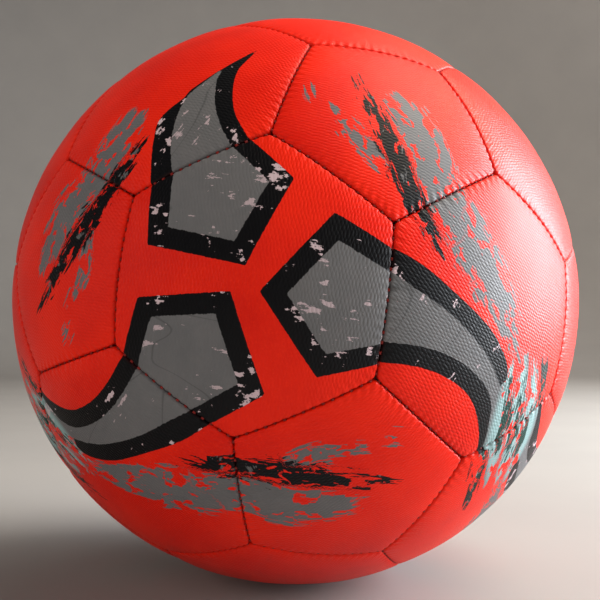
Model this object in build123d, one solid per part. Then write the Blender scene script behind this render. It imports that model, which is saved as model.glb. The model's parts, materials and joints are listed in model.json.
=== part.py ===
from build123d import *

# A size 5 soccer ball: 32 stitched panels (20 hexagons, 12 pentagons) round an inflated bladder.
#
# Each panel is a shallow tray: a moulded skin whose edge turns inwards all round, with a foam pad and a
# cloth lining bonded inside it. The turned edges of neighbours face each other across the seam, with the
# stitching thread between them. The bladder fills the inside, and holds a valve housing whose neck comes out
# through the panel at the back. A rubber insert, which takes the pump's needle, pushes into the housing.
#
# Frame: origin at the ball's centre, +Z up. The front hexagon faces -Y, and the valve faces +Y.
# Lengths are millimetres and angles are degrees.

import os
from itertools import combinations, product
from math import acos, cos, degrees, radians, sin, sqrt, tan

# ---- Driving dimensions ----
BALL_RADIUS = 110.0  # 691 mm round, inside the 680 to 700 mm of a size 5 ball
NET_LEAN = 7.0  # how far the front hexagon's top corner leans from +Z towards +X

SKIN = 1.0
FOAM = 2.0
LINING = 0.5
LAYER_CLEARANCE = 0.05
TURNED_EDGE_DEPTH = 4.0  # from the ball's surface to the inner end of a panel's turned edge

SEAM_HALF_GAP = 0.4  # from the middle of a seam to the panel on either side
EDGE_ROUND = 1.6
CORNER_ROUND = 2.0
THREAD_RADIUS = 0.35
THREAD_DEPTH = 2.6
THREAD_END_GAP = 1.4  # from a seam's corner to the end of its thread

BLADDER_WALL = 0.8
BLADDER_CLEARANCE = 0.05

VALVE_HOLE_RADIUS = 4.6
VALVE_NECK_RADIUS = 4.5
VALVE_NECK_DROP = 0.5  # the neck's top, below the ball's surface
VALVE_FLANGE_RADIUS = 17.0
VALVE_FLANGE = 1.0
VALVE_TUBE_RADIUS = 5.5
VALVE_TUBE_LENGTH = 20.0
VALVE_PATCH_RADIUS = 20.0
VALVE_PATCH = 0.35

INSERT_SHAFT_RADIUS = 2.95
INSERT_HEAD_RADIUS = 3.75
INSERT_HEAD = 1.4
INSERT_CLEARANCE = 0.05
INSERT_NOSE_LENGTH = 4.0
INSERT_NOSE_RADIUS = 1.7
NEEDLE_RADIUS = 1.0
NEEDLE_BORE_LENGTH = 13.6
MOUTH_RADIUS = 1.8
MOUTH_DEPTH = 0.8
SLIT_WIDTH = 0.1
SLIT_LENGTH = 2.4

SAME_PLACE = 0.01  # points nearer to each other than this count as one

# ---- Radii of the layers, from the surface inwards ----
FOAM_OUTER = BALL_RADIUS - SKIN - LAYER_CLEARANCE
LINING_OUTER = FOAM_OUTER - FOAM - LAYER_CLEARANCE
LINING_INNER = LINING_OUTER - LINING
EDGE_INNER = BALL_RADIUS - TURNED_EDGE_DEPTH
BLADDER_OUTER = EDGE_INNER - BLADDER_CLEARANCE
BLADDER_INNER = BLADDER_OUTER - BLADDER_WALL
FLANGE_OUTER = BLADDER_INNER - LAYER_CLEARANCE
FLANGE_INNER = FLANGE_OUTER - VALVE_FLANGE
PATCH_OUTER = LINING_INNER - LAYER_CLEARANCE
WELL_INSIDE = 0.8 * BALL_RADIUS
WELL_OUTSIDE = 1.1 * BALL_RADIUS

# ---- The panel net: a truncated icosahedron blown up to a sphere ----
GOLDEN = (1 + sqrt(5)) / 2
CORNER_RADIUS = sqrt(9 * GOLDEN + 10)  # of the flat-sided solid, whose edges are 2 long
SEAM_HALF_ANGLE = degrees(acos(sqrt(CORNER_RADIUS**2 - 1) / CORNER_RADIUS))


def turned(point):
    """The three points that share one set of coordinates in turn, as (a, b, c), (b, c, a) and (c, a, b)."""
    a, b, c = point
    return [(a, b, c), (b, c, a), (c, a, b)]


def signed(point):
    """The point with every choice of signs on its coordinates that aren't 0."""
    choices = [(value, -value) if value else (value,) for value in point]
    return list(product(*choices))


CUBE = signed((1, 1, 1))
HUB_POINTS = [p for p in CUBE if p[0] * p[1] * p[2] > 0]
PLAIN_POINTS = [p for p in CUBE if p[0] * p[1] * p[2] < 0]
WING_POINTS = [q for p in signed((0, GOLDEN, 1 / GOLDEN)) for q in turned(p)]
PENTAGON_POINTS = [q for p in signed((0, 1, GOLDEN)) for q in turned(p)]


def across(point, axis):
    """The unit direction of point as seen along axis, square to it."""
    vector = Vector(*point)
    return (vector - axis * vector.dot(axis)).normalized()


FRONT_AXIS = Vector(1, 1, 1).normalized()
NET_PLANE = Plane((0, 0, 0), x_dir=across((0, GOLDEN, 1 / GOLDEN), FRONT_AXIS), z_dir=FRONT_AXIS)
WING_LEAN = radians(NET_LEAN - 30)  # the nearest wing hexagon sits half a side from the top corner
BALL_PLANE = Plane((0, 0, 0), x_dir=(sin(WING_LEAN), 0, cos(WING_LEAN)), z_dir=(0, -1, 0))


def on_ball(point):
    """The ball frame's unit direction of a point of the net."""
    local = NET_PLANE.to_local_coords(Vector(*point))
    return BALL_PLANE.from_local_coords(local).normalized()


def from_front_to_back(points):
    """Directions on the ball in a fixed order: from the front to the back, then from the top down."""
    return sorted((on_ball(p) for p in points), key=lambda d: (round(d.Y, 3), -round(d.Z, 3), round(d.X, 3)))


HUBS = from_front_to_back(HUB_POINTS)
WINGS = from_front_to_back(WING_POINTS)
PLAINS = from_front_to_back(PLAIN_POINTS)
PENTAGONS = from_front_to_back(PENTAGON_POINTS)
HEXAGONS = HUBS + WINGS + PLAINS

# The angle from a panel's axis to the middle of its sides. It comes from the angle to its corners.
HEXAGON_TILT = degrees(acos(sqrt(CORNER_RADIUS**2 - 4) / sqrt(CORNER_RADIUS**2 - 1)))
PENTAGON_TILT = degrees(
    acos(sqrt(CORNER_RADIUS**2 - 1 / sin(radians(36)) ** 2) / sqrt(CORNER_RADIUS**2 - 1))
)


# ---- Panels, built about +Z with the middle of one side towards +X ----
def ball(radius):
    """A sphere whose poles lie on Y, so that no panel holds one."""
    return Rot(90, 0, 0) * Sphere(radius)


def shell(outer, inner):
    return ball(outer) - ball(inner)


def wedge(sides, tilt, inset):
    """A pyramid from the ball's centre through a panel's outline, with its sides moved in by inset."""
    apothem = WELL_INSIDE * tan(radians(tilt)) - inset / cos(radians(tilt))
    outline = RegularPolygon(apothem, sides, major_radius=False, rotation=180 / sides)
    return extrude(Pos(0, 0, WELL_INSIDE) * outline, WELL_OUTSIDE - WELL_INSIDE, taper=-tilt)


def layer(sides, tilt, inset, outer, inner):
    """One bonded layer of a panel, between two radii."""
    return wedge(sides, tilt, inset) & shell(outer, inner)


def radii(edge):
    """How far an edge's ends and middle are from the ball's centre."""
    return [(edge @ share).length for share in (0, 0.5, 1)]


def skin_tray(sides, tilt):
    """The moulded skin of a panel with its turned edge, rounded where it meets the seam."""
    block = layer(sides, tilt, SEAM_HALF_GAP, BALL_RADIUS, EDGE_INNER)
    corners = [e for e in block.edges() if max(radii(e)) - min(radii(e)) > TURNED_EDGE_DEPTH / 2]
    block = fillet(corners, CORNER_ROUND)
    rim = [e for e in block.edges() if min(radii(e)) > BALL_RADIUS - SAME_PLACE]
    block = fillet(rim, EDGE_ROUND)
    hollow = wedge(sides, tilt, SEAM_HALF_GAP + SKIN) & ball(BALL_RADIUS - SKIN)
    return block - hollow


def pad(sides, tilt, outer, thickness):
    """A foam pad or a lining: it fills the tray inside the turned edge."""
    inset = SEAM_HALF_GAP + SKIN + LAYER_CLEARANCE
    return layer(sides, tilt, inset, outer, outer - thickness)


def beside(axis, others):
    """The direction from a panel to one that shares a side with it."""
    apart = [o for o in others if (o - axis).length > SAME_PLACE]
    nearest = max(apart, key=lambda o: round(o.dot(axis), 6))
    return across(tuple(nearest), axis)


def placed(shape, axis, others):
    """A panel piece moved from +Z to its place on the ball."""
    return Plane((0, 0, 0), x_dir=beside(axis, others), z_dir=axis) * shape


# ---- Seams ----
def thread():
    """The stitching thread of one seam: a round lace along an arc in the XY plane, centred on +X."""
    radius = BALL_RADIUS - THREAD_DEPTH
    arc = 2 * (SEAM_HALF_ANGLE - degrees(THREAD_END_GAP / radius))
    lace = revolve(Plane.XZ * Pos(radius, 0) * Circle(THREAD_RADIUS), Axis.Z, arc)
    return Rot(0, 0, -arc / 2) * lace


def seam_middle(first, second):
    """The direction of the middle of the seam between two neighbours, one of them a hexagon."""
    toward = across(tuple(second), first)
    tilt = radians(HEXAGON_TILT)
    return first * cos(tilt) + toward * sin(tilt)


def seams_between(first_family, second_family):
    """Each seam as (middle, square to the seam), between hexagons of one family and panels of another."""
    if first_family is second_family:
        pairs = combinations(first_family, 2)
    else:
        pairs = product(first_family, second_family)
    touching = 0.7  # the cosine for neighbours is 0.745 or more, and for any other pair it is under 0.4
    middles = [(seam_middle(a, b), a.cross(b)) for a, b in pairs if a.dot(b) > touching]
    return [(middle, along.cross(middle)) for middle, along in middles]


# ---- Valve, built about +Z with the ball's centre at the origin ----
def rod(radius, low, high):
    return Pos(0, 0, (low + high) / 2) * Cylinder(radius, high - low)


NECK_TOP = BALL_RADIUS - VALVE_NECK_DROP
TUBE_END = FLANGE_INNER - VALVE_TUBE_LENGTH
BORE_RADIUS = INSERT_SHAFT_RADIUS + INSERT_CLEARANCE
HEAD_SEAT = NECK_TOP - INSERT_HEAD - 2 * INSERT_CLEARANCE


def valve_hole():
    return rod(VALVE_HOLE_RADIUS, WELL_INSIDE, WELL_OUTSIDE)


def valve_housing():
    """Rubber flange inside the bladder, with a neck out to the ball's surface and a tube inwards."""
    flange = shell(FLANGE_OUTER, FLANGE_INNER) & rod(VALVE_FLANGE_RADIUS, TUBE_END, BALL_RADIUS)
    neck = rod(VALVE_NECK_RADIUS, FLANGE_INNER, NECK_TOP)
    tube = rod(VALVE_TUBE_RADIUS, TUBE_END, FLANGE_INNER + VALVE_FLANGE / 2)
    bore = rod(BORE_RADIUS, TUBE_END, NECK_TOP)
    seat = rod(INSERT_HEAD_RADIUS + INSERT_CLEARANCE, HEAD_SEAT, NECK_TOP)
    return flange + neck + tube - bore - seat


def valve_insert():
    """Rubber plug: a head flush with the neck, a needle bore, and a closed slit in its nose."""
    head_low = HEAD_SEAT + INSERT_CLEARANCE
    head_top = head_low + INSERT_HEAD
    nose_top = TUBE_END
    nose_end = nose_top - INSERT_NOSE_LENGTH
    bore_end = head_top - MOUTH_DEPTH - NEEDLE_BORE_LENGTH
    head = rod(INSERT_HEAD_RADIUS, head_low, head_top)
    shaft = rod(INSERT_SHAFT_RADIUS, nose_top, head_low)
    nose = Pos(0, 0, (nose_top + nose_end) / 2) * Cone(
        INSERT_NOSE_RADIUS, INSERT_SHAFT_RADIUS, INSERT_NOSE_LENGTH
    )
    bore = rod(NEEDLE_RADIUS, bore_end, head_top)
    mouth = Pos(0, 0, head_top - MOUTH_DEPTH / 2) * Cone(NEEDLE_RADIUS, MOUTH_RADIUS, MOUTH_DEPTH)
    slit = Pos(0, 0, (nose_end + bore_end) / 2) * Box(SLIT_LENGTH, SLIT_WIDTH, bore_end - nose_end)
    return head + shaft + nose - bore - mouth - slit


def valve_patch():
    """Cloth ring round the valve, between the lining and the bladder."""
    ring = shell(PATCH_OUTER, PATCH_OUTER - VALVE_PATCH) & rod(VALVE_PATCH_RADIUS, TUBE_END, BALL_RADIUS)
    return ring - valve_hole()


def bladder():
    """Butyl sphere with a hole that the valve's neck comes out through. Its poles lie off the valve."""
    return Rot(90, 0, 0) * shell(BLADDER_OUTER, BLADDER_INNER) - valve_hole()


# ---- Writing the parts ----
def write(name, *shapes):
    """One STEP file for a node, which holds one solid for each shape."""
    solids = [solid for shape in shapes for solid in shape.solids()]
    export_step(Compound(solids), f"parts/{name}.step")


def write_panels(family, axes, others, sides, tilt):
    """A node for each panel of a family, and one node each for the family's foam pads and linings."""
    tray = skin_tray(sides, tilt)
    foam = pad(sides, tilt, FOAM_OUTER, FOAM)
    lining = pad(sides, tilt, LINING_OUTER, LINING)
    places = [lambda shape, axis=axis: placed(shape, axis, others) for axis in axes]
    for number, place in enumerate(places, start=1):
        write(f"{family}_{number:02d}", place(tray))
    write(f"{family}_foam_pads", *[place(foam) for place in places])
    write(f"{family}_linings", *[place(lining) for place in places])


def write_valve_panel(axis, others):
    """The hexagon that the valve's neck comes out through, with its own pad and lining."""
    layers = {
        "valve_hexagon": skin_tray(6, HEXAGON_TILT),
        "valve_hexagon_foam_pad": pad(6, HEXAGON_TILT, FOAM_OUTER, FOAM),
        "valve_hexagon_lining": pad(6, HEXAGON_TILT, LINING_OUTER, LINING),
    }
    for name, shape in layers.items():
        write(name, placed(shape - valve_hole(), axis, others))


def write_threads(name, first_family, second_family):
    lace = thread()
    seams = seams_between(first_family, second_family)
    write(name, *[Plane((0, 0, 0), x_dir=middle, z_dir=square) * lace for middle, square in seams])


os.makedirs("parts", exist_ok=True)
VALVE_AXIS = PLAINS[-1]

write_panels("hub_hexagon", HUBS, HEXAGONS, 6, HEXAGON_TILT)
write_panels("wing_hexagon", WINGS, HEXAGONS, 6, HEXAGON_TILT)
write_panels("plain_hexagon", PLAINS[:-1], HEXAGONS, 6, HEXAGON_TILT)
write_panels("pentagon", PENTAGONS, HEXAGONS, 5, PENTAGON_TILT)
write_valve_panel(VALVE_AXIS, HEXAGONS)

SEWN_PAIRS = {
    "hub_wing": (HUBS, WINGS),
    "hub_pentagon": (HUBS, PENTAGONS),
    "wing_wing": (WINGS, WINGS),
    "wing_plain": (WINGS, PLAINS),
    "wing_pentagon": (WINGS, PENTAGONS),
    "plain_pentagon": (PLAINS, PENTAGONS),
}
for name, (first_family, second_family) in SEWN_PAIRS.items():
    write_threads(f"{name}_threads", first_family, second_family)

valve_plane = Plane((0, 0, 0), z_dir=VALVE_AXIS)
write("bladder", valve_plane * bladder())
write("valve_housing", valve_plane * valve_housing())
write("valve_insert", valve_plane * valve_insert())
write("valve_patch", valve_plane * valve_patch())
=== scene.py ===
import json
from itertools import combinations, product
from math import acos, cos, pi, radians, sin, sqrt

import bpy
import numpy as np
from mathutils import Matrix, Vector


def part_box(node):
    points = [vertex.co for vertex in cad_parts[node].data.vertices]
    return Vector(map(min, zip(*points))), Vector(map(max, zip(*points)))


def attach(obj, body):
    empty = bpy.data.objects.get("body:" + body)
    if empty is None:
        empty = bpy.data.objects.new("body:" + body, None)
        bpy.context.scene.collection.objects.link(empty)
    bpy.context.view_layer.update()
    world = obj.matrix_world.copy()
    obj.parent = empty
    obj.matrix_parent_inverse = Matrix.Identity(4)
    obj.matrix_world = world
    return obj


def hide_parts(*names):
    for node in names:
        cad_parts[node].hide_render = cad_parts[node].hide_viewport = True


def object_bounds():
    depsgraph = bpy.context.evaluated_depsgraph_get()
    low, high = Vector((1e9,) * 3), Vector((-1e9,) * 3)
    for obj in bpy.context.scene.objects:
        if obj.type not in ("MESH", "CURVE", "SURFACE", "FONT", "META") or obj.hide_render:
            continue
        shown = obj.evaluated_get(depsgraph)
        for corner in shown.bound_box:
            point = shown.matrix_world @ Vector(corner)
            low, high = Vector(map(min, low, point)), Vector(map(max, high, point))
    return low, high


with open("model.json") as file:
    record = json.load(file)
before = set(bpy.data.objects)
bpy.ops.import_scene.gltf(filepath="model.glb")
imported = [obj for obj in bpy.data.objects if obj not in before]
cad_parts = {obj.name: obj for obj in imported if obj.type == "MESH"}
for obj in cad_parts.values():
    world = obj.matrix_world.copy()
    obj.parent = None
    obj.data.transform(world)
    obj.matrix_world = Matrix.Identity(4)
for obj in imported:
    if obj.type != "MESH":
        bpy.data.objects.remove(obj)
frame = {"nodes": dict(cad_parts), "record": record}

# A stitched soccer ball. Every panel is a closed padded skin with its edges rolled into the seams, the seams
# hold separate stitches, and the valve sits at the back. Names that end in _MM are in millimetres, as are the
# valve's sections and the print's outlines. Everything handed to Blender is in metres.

MM = 0.001
CAD_LOW, CAD_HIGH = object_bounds()
RADIUS_MM = min(CAD_HIGH - CAD_LOW) / 2 / MM

NET_LEAN = 7.0  # degrees that the front hexagon's top corner leans from +Z towards +X
STITCHES = 15  # along each seam

SEAM_HALF_GAP_MM = 0.1
ROLL_WIDTH_MM = 0.7  # how far the rolled edge reaches into the panel
ROLL_DEPTH_MM = 0.85
ROLL_DEGREES = (90, 72, 56, 42, 30, 18, 8)  # where the roll's rings lie round it, from its top to its foot
ROLL_TOP_MM = SEAM_HALF_GAP_MM + ROLL_WIDTH_MM
APPROACH_MM = (1.7, 0.9, 0.35)  # rings that come before the roll, this far from its top
FACE_INSET_MM = ROLL_TOP_MM + 2.6  # where the even lattice of a panel's face ends
SHOULDER_DROP_MM = 0.38  # how much a panel sinks towards its seams, apart from the roll
SHOULDER_REACH_MM = 3.2
CORNER_SOFTNESS_MM = 0.6
PULL_DROP_MM = 0.42  # how far each stitch pulls the edge down
PULL_REACH_MM = 1.7
PULL_IN_MM = 0.16  # and how far it pulls the edge away from the seam
SKIN_MM = 1.0
TURNED_EDGE_MM = 3.9  # how deep the turned-in edge goes
BACK_INSET_MM = SEAM_HALF_GAP_MM + SKIN_MM
BACK_CURVE_MM = 0.4  # between the turned-in edge and the panel's inner face
BACK_HOLE_MARGIN_MM = 0.6  # and between that face and the valve hole
LIP_MM = 0.5  # rounding of the valve hole's rim
SURFACE_WAVE_MM = 0.07
WAVE_LENGTHS_MM = (70, 52, 38, 27, 19)
WAVE_DEPTH_MM = 1.5  # below this, a panel's inner face has no unevenness

LATTICE_STEPS = 45  # triangles along each side of a panel's surface
EDGE_STEPS = 90  # along each side of its rolled edge, six to a stitch
BACK_STEPS = 15  # along each side of its hidden inner face
VALVE_RINGS = (5, 15)  # the lattice rings that blend from the valve hole to the panel's outline
BACK_VALVE_RINGS = (1, 4)
HOLE_STEPS = 120
HALVINGS = 32  # of the search for a point at a set distance from the seams
SAME_COSINE = 0.999  # two directions nearer than this are the same one
NEIGHBOUR_COSINE = 0.7  # two panels' axes are nearer than this only where the panels share a seam


# ---- The panel net: a truncated icosahedron blown up to a sphere ----
GOLDEN = (1 + sqrt(5)) / 2
CORNER_REACH = sqrt(9 * GOLDEN + 10)  # of the flat-sided solid, whose edges are 2 long
SEAM_ANGLE = 2 * acos(sqrt(CORNER_REACH**2 - 1) / CORNER_REACH)
CORNER_ANGLE = {n: acos(sqrt(1 - 1 / (CORNER_REACH * sin(pi / n)) ** 2)) for n in (5, 6)}


def unit(vector):
    vector = np.asarray(vector, float)
    return vector / np.linalg.norm(vector, axis=-1, keepdims=True)


def turned(point):
    a, b, c = point
    return [(a, b, c), (b, c, a), (c, a, b)]


def signed(point):
    return list(product(*[(value, -value) if value else (value,) for value in point]))


def across(point, axis):
    """The unit direction of point as seen along axis, square to it."""
    point = np.asarray(point, float)
    return unit(point - axis * (point @ axis))


def basis(x_direction, z_direction):
    """The turn whose columns are these x and z directions, and the y that goes with them."""
    return np.column_stack([x_direction, np.cross(z_direction, x_direction), z_direction])


NET_FRONT = unit((1, 1, 1))
NET_WING = across((0, GOLDEN, 1 / GOLDEN), NET_FRONT)
WING_LEAN = radians(NET_LEAN - 30)
BALL_TURN = basis((sin(WING_LEAN), 0, cos(WING_LEAN)), (0, -1, 0)) @ basis(NET_WING, NET_FRONT).T
HEXAGON_AXES = unit(signed((1, 1, 1)) + [q for p in signed((0, GOLDEN, 1 / GOLDEN)) for q in turned(p)])
PENTAGON_AXES = unit([q for p in signed((0, 1, GOLDEN)) for q in turned(p)])
AXES = {6: HEXAGON_AXES @ BALL_TURN.T, 5: PENTAGON_AXES @ BALL_TURN.T}
PRINT_TURNS = [
    BALL_TURN @ np.roll(np.diag(signs), shift, axis=0) @ BALL_TURN.T
    for signs in product((1, -1), repeat=3)
    if signs[0] * signs[1] * signs[2] > 0
    for shift in range(3)
]


def panel_nodes():
    """Each cover panel's node, as (name, sides, axis). Its place in the frame gives its axis."""
    found = []
    for name in sorted(frame["nodes"]):
        stem = name.rstrip("0123456789_")
        if stem not in ("hub_hexagon", "wing_hexagon", "plain_hexagon", "valve_hexagon", "pentagon"):
            continue
        sides = 5 if stem == "pentagon" else 6
        low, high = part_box(name)
        middle = unit((low + high) / 2)
        found.append((name, sides, AXES[sides][np.argmax(AXES[sides] @ middle)]))
    return found


def panel_turn(name, axis):
    """From a panel's own frame to the ball's. +Z goes to its axis, and +X across a side: the rightmost on
    a hub, and the topmost on the others, which gives the direction that the panel was cut in."""
    order = (0, 2, 1) if name.startswith("hub") else (2, 0, 1)
    beside = [d for d in AXES[6] if NEIGHBOUR_COSINE < d @ axis < SAME_COSINE]
    return basis(across(max(beside, key=lambda d: [round(d[k], 3) for k in order]), axis), axis)


# ---- A panel's surface, in its own frame ----
MIDDLE = np.array((0, 0, 1.0))


def circle(radius_mm, steps, sides):
    """Directions round the panel's middle, from the azimuth of its first corner."""
    turns = (np.arange(steps) / steps - 0.5 / sides) * 2 * pi
    tilt = radius_mm / RADIUS_MM
    flat = sin(tilt) * np.array([np.cos(turns), np.sin(turns)])
    return np.column_stack([*flat, np.full(steps, cos(tilt))])


def corner_directions(sides):
    return circle(CORNER_ANGLE[sides] * RADIUS_MM, sides, sides)


def seam_rays(sides, steps):
    """Points along the seams, steps to a side, and how far along its side each one is, from 0 to 1."""
    corners = corner_directions(sides)
    share = np.tile(np.arange(steps) / steps, sides)
    first = np.repeat(corners, steps, axis=0)
    second = np.repeat(np.roll(corners, -1, axis=0), steps, axis=0)
    near = np.sin((1 - share) * SEAM_ANGLE)[:, None]
    far = np.sin(share * SEAM_ANGLE)[:, None]
    return (first * near + second * far) / sin(SEAM_ANGLE), share


def seam_distance(sides, points):
    """Millimetres from each direction to the nearest seam, with the corners softened."""
    corners = corner_directions(sides)
    normals = unit(np.cross(corners, np.roll(corners, -1, axis=0)))
    gaps = RADIUS_MM * np.arcsin(np.clip(points @ normals.T, -1, 1))
    nearest = gaps.min(axis=1, keepdims=True)
    crowd = np.exp(-(gaps - nearest) / CORNER_SOFTNESS_MM).sum(axis=1)
    return nearest[:, 0] - CORNER_SOFTNESS_MM * np.log(crowd)


def toward(rays, share):
    """The direction at this share of the way from the panel's middle to each ray."""
    return unit((1 - share)[:, None] * MIDDLE + share[:, None] * rays)


def inset_ring(sides, rays, inset_mm):
    """The point on each ray from the panel's middle that is this far from the seams."""
    inset_mm = np.broadcast_to(inset_mm, len(rays))
    low, high = np.zeros(len(rays)), np.ones(len(rays))
    for _ in range(HALVINGS):
        middle = (low + high) / 2
        inside = seam_distance(sides, toward(rays, middle)) > inset_mm
        low, high = np.where(inside, middle, low), np.where(inside, high, middle)
    return toward(rays, (low + high) / 2)


def stitch_pull(share):
    """How hard the thread pulls the edge at each place along a side: 1 at a stitch, 0 between two."""
    pull = 0.5 - 0.5 * np.cos(2 * pi * STITCHES * share)
    stitches_from_corner = np.minimum(share, 1 - share) * STITCHES
    return pull * np.clip(stitches_from_corner + 0.25, 0, 1)


def edge_drop(inset_mm, share):
    """How far the surface lies below the ball's sphere, this far from the seam."""
    past = np.clip(1 - (inset_mm - SEAM_HALF_GAP_MM) / ROLL_WIDTH_MM, 0, 1)
    roll = ROLL_DEPTH_MM * (1 - np.sqrt(1 - past**2))
    shoulder = SHOULDER_DROP_MM * np.exp(-inset_mm / SHOULDER_REACH_MM)
    return roll + shoulder + PULL_DROP_MM * stitch_pull(share) * np.exp(-inset_mm / PULL_REACH_MM)


class Shell:
    """Collects one closed surface ring by ring: directions, depths below the sphere, and triangles."""

    def __init__(self):
        self.directions, self.drops, self.faces, self.count = [], [], [], 0

    def ring(self, directions, drop_mm):
        self.directions.append(np.asarray(directions))
        self.drops.append(np.broadcast_to(drop_mm, len(directions)))
        self.count += len(directions)
        return np.arange(self.count - len(directions), self.count)

    def join(self, inner, outer):
        """Triangles between two rings that start at the same corner, one with a multiple of the other's
        points."""
        flip = len(inner) > len(outer)
        few, many = (outer, inner) if flip else (inner, outer)
        ratio = len(many) // len(few)
        half = (ratio + 1) // 2
        for c in range(len(few)):
            here, following = few[c], few[(c + 1) % len(few)]
            run = [many[(c * ratio + k) % len(many)] for k in range(ratio + 1)]
            made = [(here if k < half else following, run[k], run[k + 1]) for k in range(ratio)]
            made.append((here, run[half], following))
            self.faces += [(a, c, b) for a, b, c in made] if flip else made

    def follow(self, last, rings):
        """Adds rings of directions and depths, each joined to the one before, and gives back the last."""
        for directions, drop_mm in rings:
            following = self.ring(directions, drop_mm)
            self.join(last, following)
            last = following
        return last

    def lattice(self, rings, sides, flip=False):
        """Triangles between rings that each have one point more to a side than the one before."""
        for inner, outer in zip(rings, rings[1:]):
            few, many = len(inner) // sides, len(outer) // sides
            for side in range(sides):
                for step in range(many):
                    a = outer[side * many + step]
                    b = outer[(side * many + step + 1) % len(outer)]
                    c = inner[(side * few + step) % len(inner)] if few else inner[0]
                    self.faces.append((b, a, c) if flip else (a, b, c))
                    if step < few:
                        d = inner[(side * few + step + 1) % len(inner)]
                        self.faces.append((b, c, d) if flip else (b, d, c))

    def arrays(self):
        return np.concatenate(self.directions), np.concatenate(self.drops), np.array(self.faces)


def lattice_ring(sides, number, steps, inset_mm):
    """One of the rings that run evenly from the panel's middle out to where the seams are inset_mm away."""
    if number == 0:
        return MIDDLE[None], np.array([0.5])
    rays, share = seam_rays(sides, number)
    border = inset_ring(sides, rays, inset_mm)
    reach = np.arccos(border[:, 2]) * number / steps
    flat = unit(border[:, :2])
    return np.column_stack([flat * np.sin(reach)[:, None], np.cos(reach)]), share


def lattice_rings(shell, sides, steps, inset_mm, drop, hole_mm, blend):
    """The rings of a panel's face. Where it has a hole, those in blend go from round to the panel's shape."""
    pitch_mm = 0.9 * RADIUS_MM * CORNER_ANGLE[sides] / steps
    first, last = blend if hole_mm else (0, 0)
    rings = []
    for number in range(first, steps + 1):
        points, share = lattice_ring(sides, number, steps, inset_mm)
        if number < last:
            weight = (number - first) / (last - first)
            round_ring = circle(hole_mm + (number - first) * pitch_mm, len(points), sides)
            points = unit((1 - weight) * round_ring + weight * points)
        rings.append(shell.ring(points, drop(seam_distance(sides, points), share)))
    return rings


def hole_lip(sides, hole_mm):
    """Rings over the rounded rim of the valve hole."""
    for turn in np.radians((0, 25, 50, 75, 90)):
        yield circle(hole_mm + LIP_MM * (1 - cos(turn)), HOLE_STEPS, sides), LIP_MM * (1 - sin(turn))


def rolled_edge(sides, rays, share):
    """Rings from the face's border down round the rolled edge, pulled in at each stitch."""
    pull_in = PULL_IN_MM * stitch_pull(share)
    insets = [ROLL_TOP_MM + more for more in APPROACH_MM]
    insets += [ROLL_TOP_MM - ROLL_WIDTH_MM * cos(radians(turn)) for turn in ROLL_DEGREES]
    for inset in insets:
        points = inset_ring(sides, rays, inset + pull_in * np.exp(-inset / ROLL_WIDTH_MM))
        yield points, edge_drop(np.full(len(rays), inset), share)


def turned_edge(sides, rays, share):
    """Rings down the seam's wall, under the turned-in edge and up behind it."""
    pull_in = PULL_IN_MM * stitch_pull(share)
    foot = edge_drop(np.full(len(rays), SEAM_HALF_GAP_MM), share)
    for inset, drop in (
        (SEAM_HALF_GAP_MM + pull_in * 0.9, foot + 0.15),
        (SEAM_HALF_GAP_MM + pull_in * 0.5, (foot + TURNED_EDGE_MM) / 2),
        (SEAM_HALF_GAP_MM, TURNED_EDGE_MM),
        (BACK_INSET_MM, TURNED_EDGE_MM),
        (BACK_INSET_MM, SKIN_MM + 0.1),
    ):
        yield inset_ring(sides, rays, inset), drop


def panel_shell(sides, hole_mm=0.0):
    """The closed skin of a panel: its face, rolled edge, turned-in edge and inner face."""
    shell = Shell()
    if hole_mm:
        wall = shell.ring(circle(hole_mm, HOLE_STEPS, sides), SKIN_MM)
        lip = shell.follow(wall, hole_lip(sides, hole_mm))
    face_hole = hole_mm + 2 * LIP_MM if hole_mm else 0.0
    face = lattice_rings(shell, sides, LATTICE_STEPS, FACE_INSET_MM, edge_drop, face_hole, VALVE_RINGS)
    shell.lattice(face, sides)

    rays, share = seam_rays(sides, EDGE_STEPS)
    edge = shell.follow(face[-1], rolled_edge(sides, rays, share))
    edge = shell.follow(edge, turned_edge(sides, rays, share))

    def back_drop(inset_mm, share):
        return SKIN_MM

    back_inset = BACK_INSET_MM + BACK_CURVE_MM
    back_hole = hole_mm + BACK_HOLE_MARGIN_MM if hole_mm else 0.0
    back = lattice_rings(shell, sides, BACK_STEPS, back_inset, back_drop, back_hole, BACK_VALVE_RINGS)
    shell.join(edge, back[-1])
    shell.lattice(back, sides, flip=True)
    if hole_mm:
        shell.join(lip, face[0])
        shell.join(back[0], wall)
    return shell.arrays()


# ---- The printed pattern ----
# Each hub hexagon prints three open shields across its seams. A shield narrows into a tail on the wing
# hexagon beyond, and a brush stroke comes in beside it over the pentagon. Outlines are in millimetres on the
# unrolled surface round the hub's middle: the first number runs towards the wing hexagon, and the second
# to the right of that.
PRINT_AREA_MM = ((-4, 122), (-84, 84))
PRINT_REACH_COSINE = 0.3  # no copy of the print reaches further round the ball from its hub than this
BLANK_MM = -20.0  # how far outside each ink a place with no print counts as


def smooth_run(points, steps=5):
    """A smooth curve through the points, as steps short lines to each span."""
    points = np.asarray(points, float)
    padded = np.vstack([2 * points[0] - points[1], points, 2 * points[-1] - points[-2]])
    made = [points[0]]
    for a, b, c, d in zip(padded, padded[1:], padded[2:], padded[3:]):
        for t in np.arange(1, steps + 1) / steps:
            bend = (2 * a - 5 * b + 4 * c - d) * t**2 + (3 * b - a - 3 * c + d) * t**3
            made.append((2 * b + (c - a) * t + bend) / 2)
    return [tuple(p) for p in made]


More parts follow.
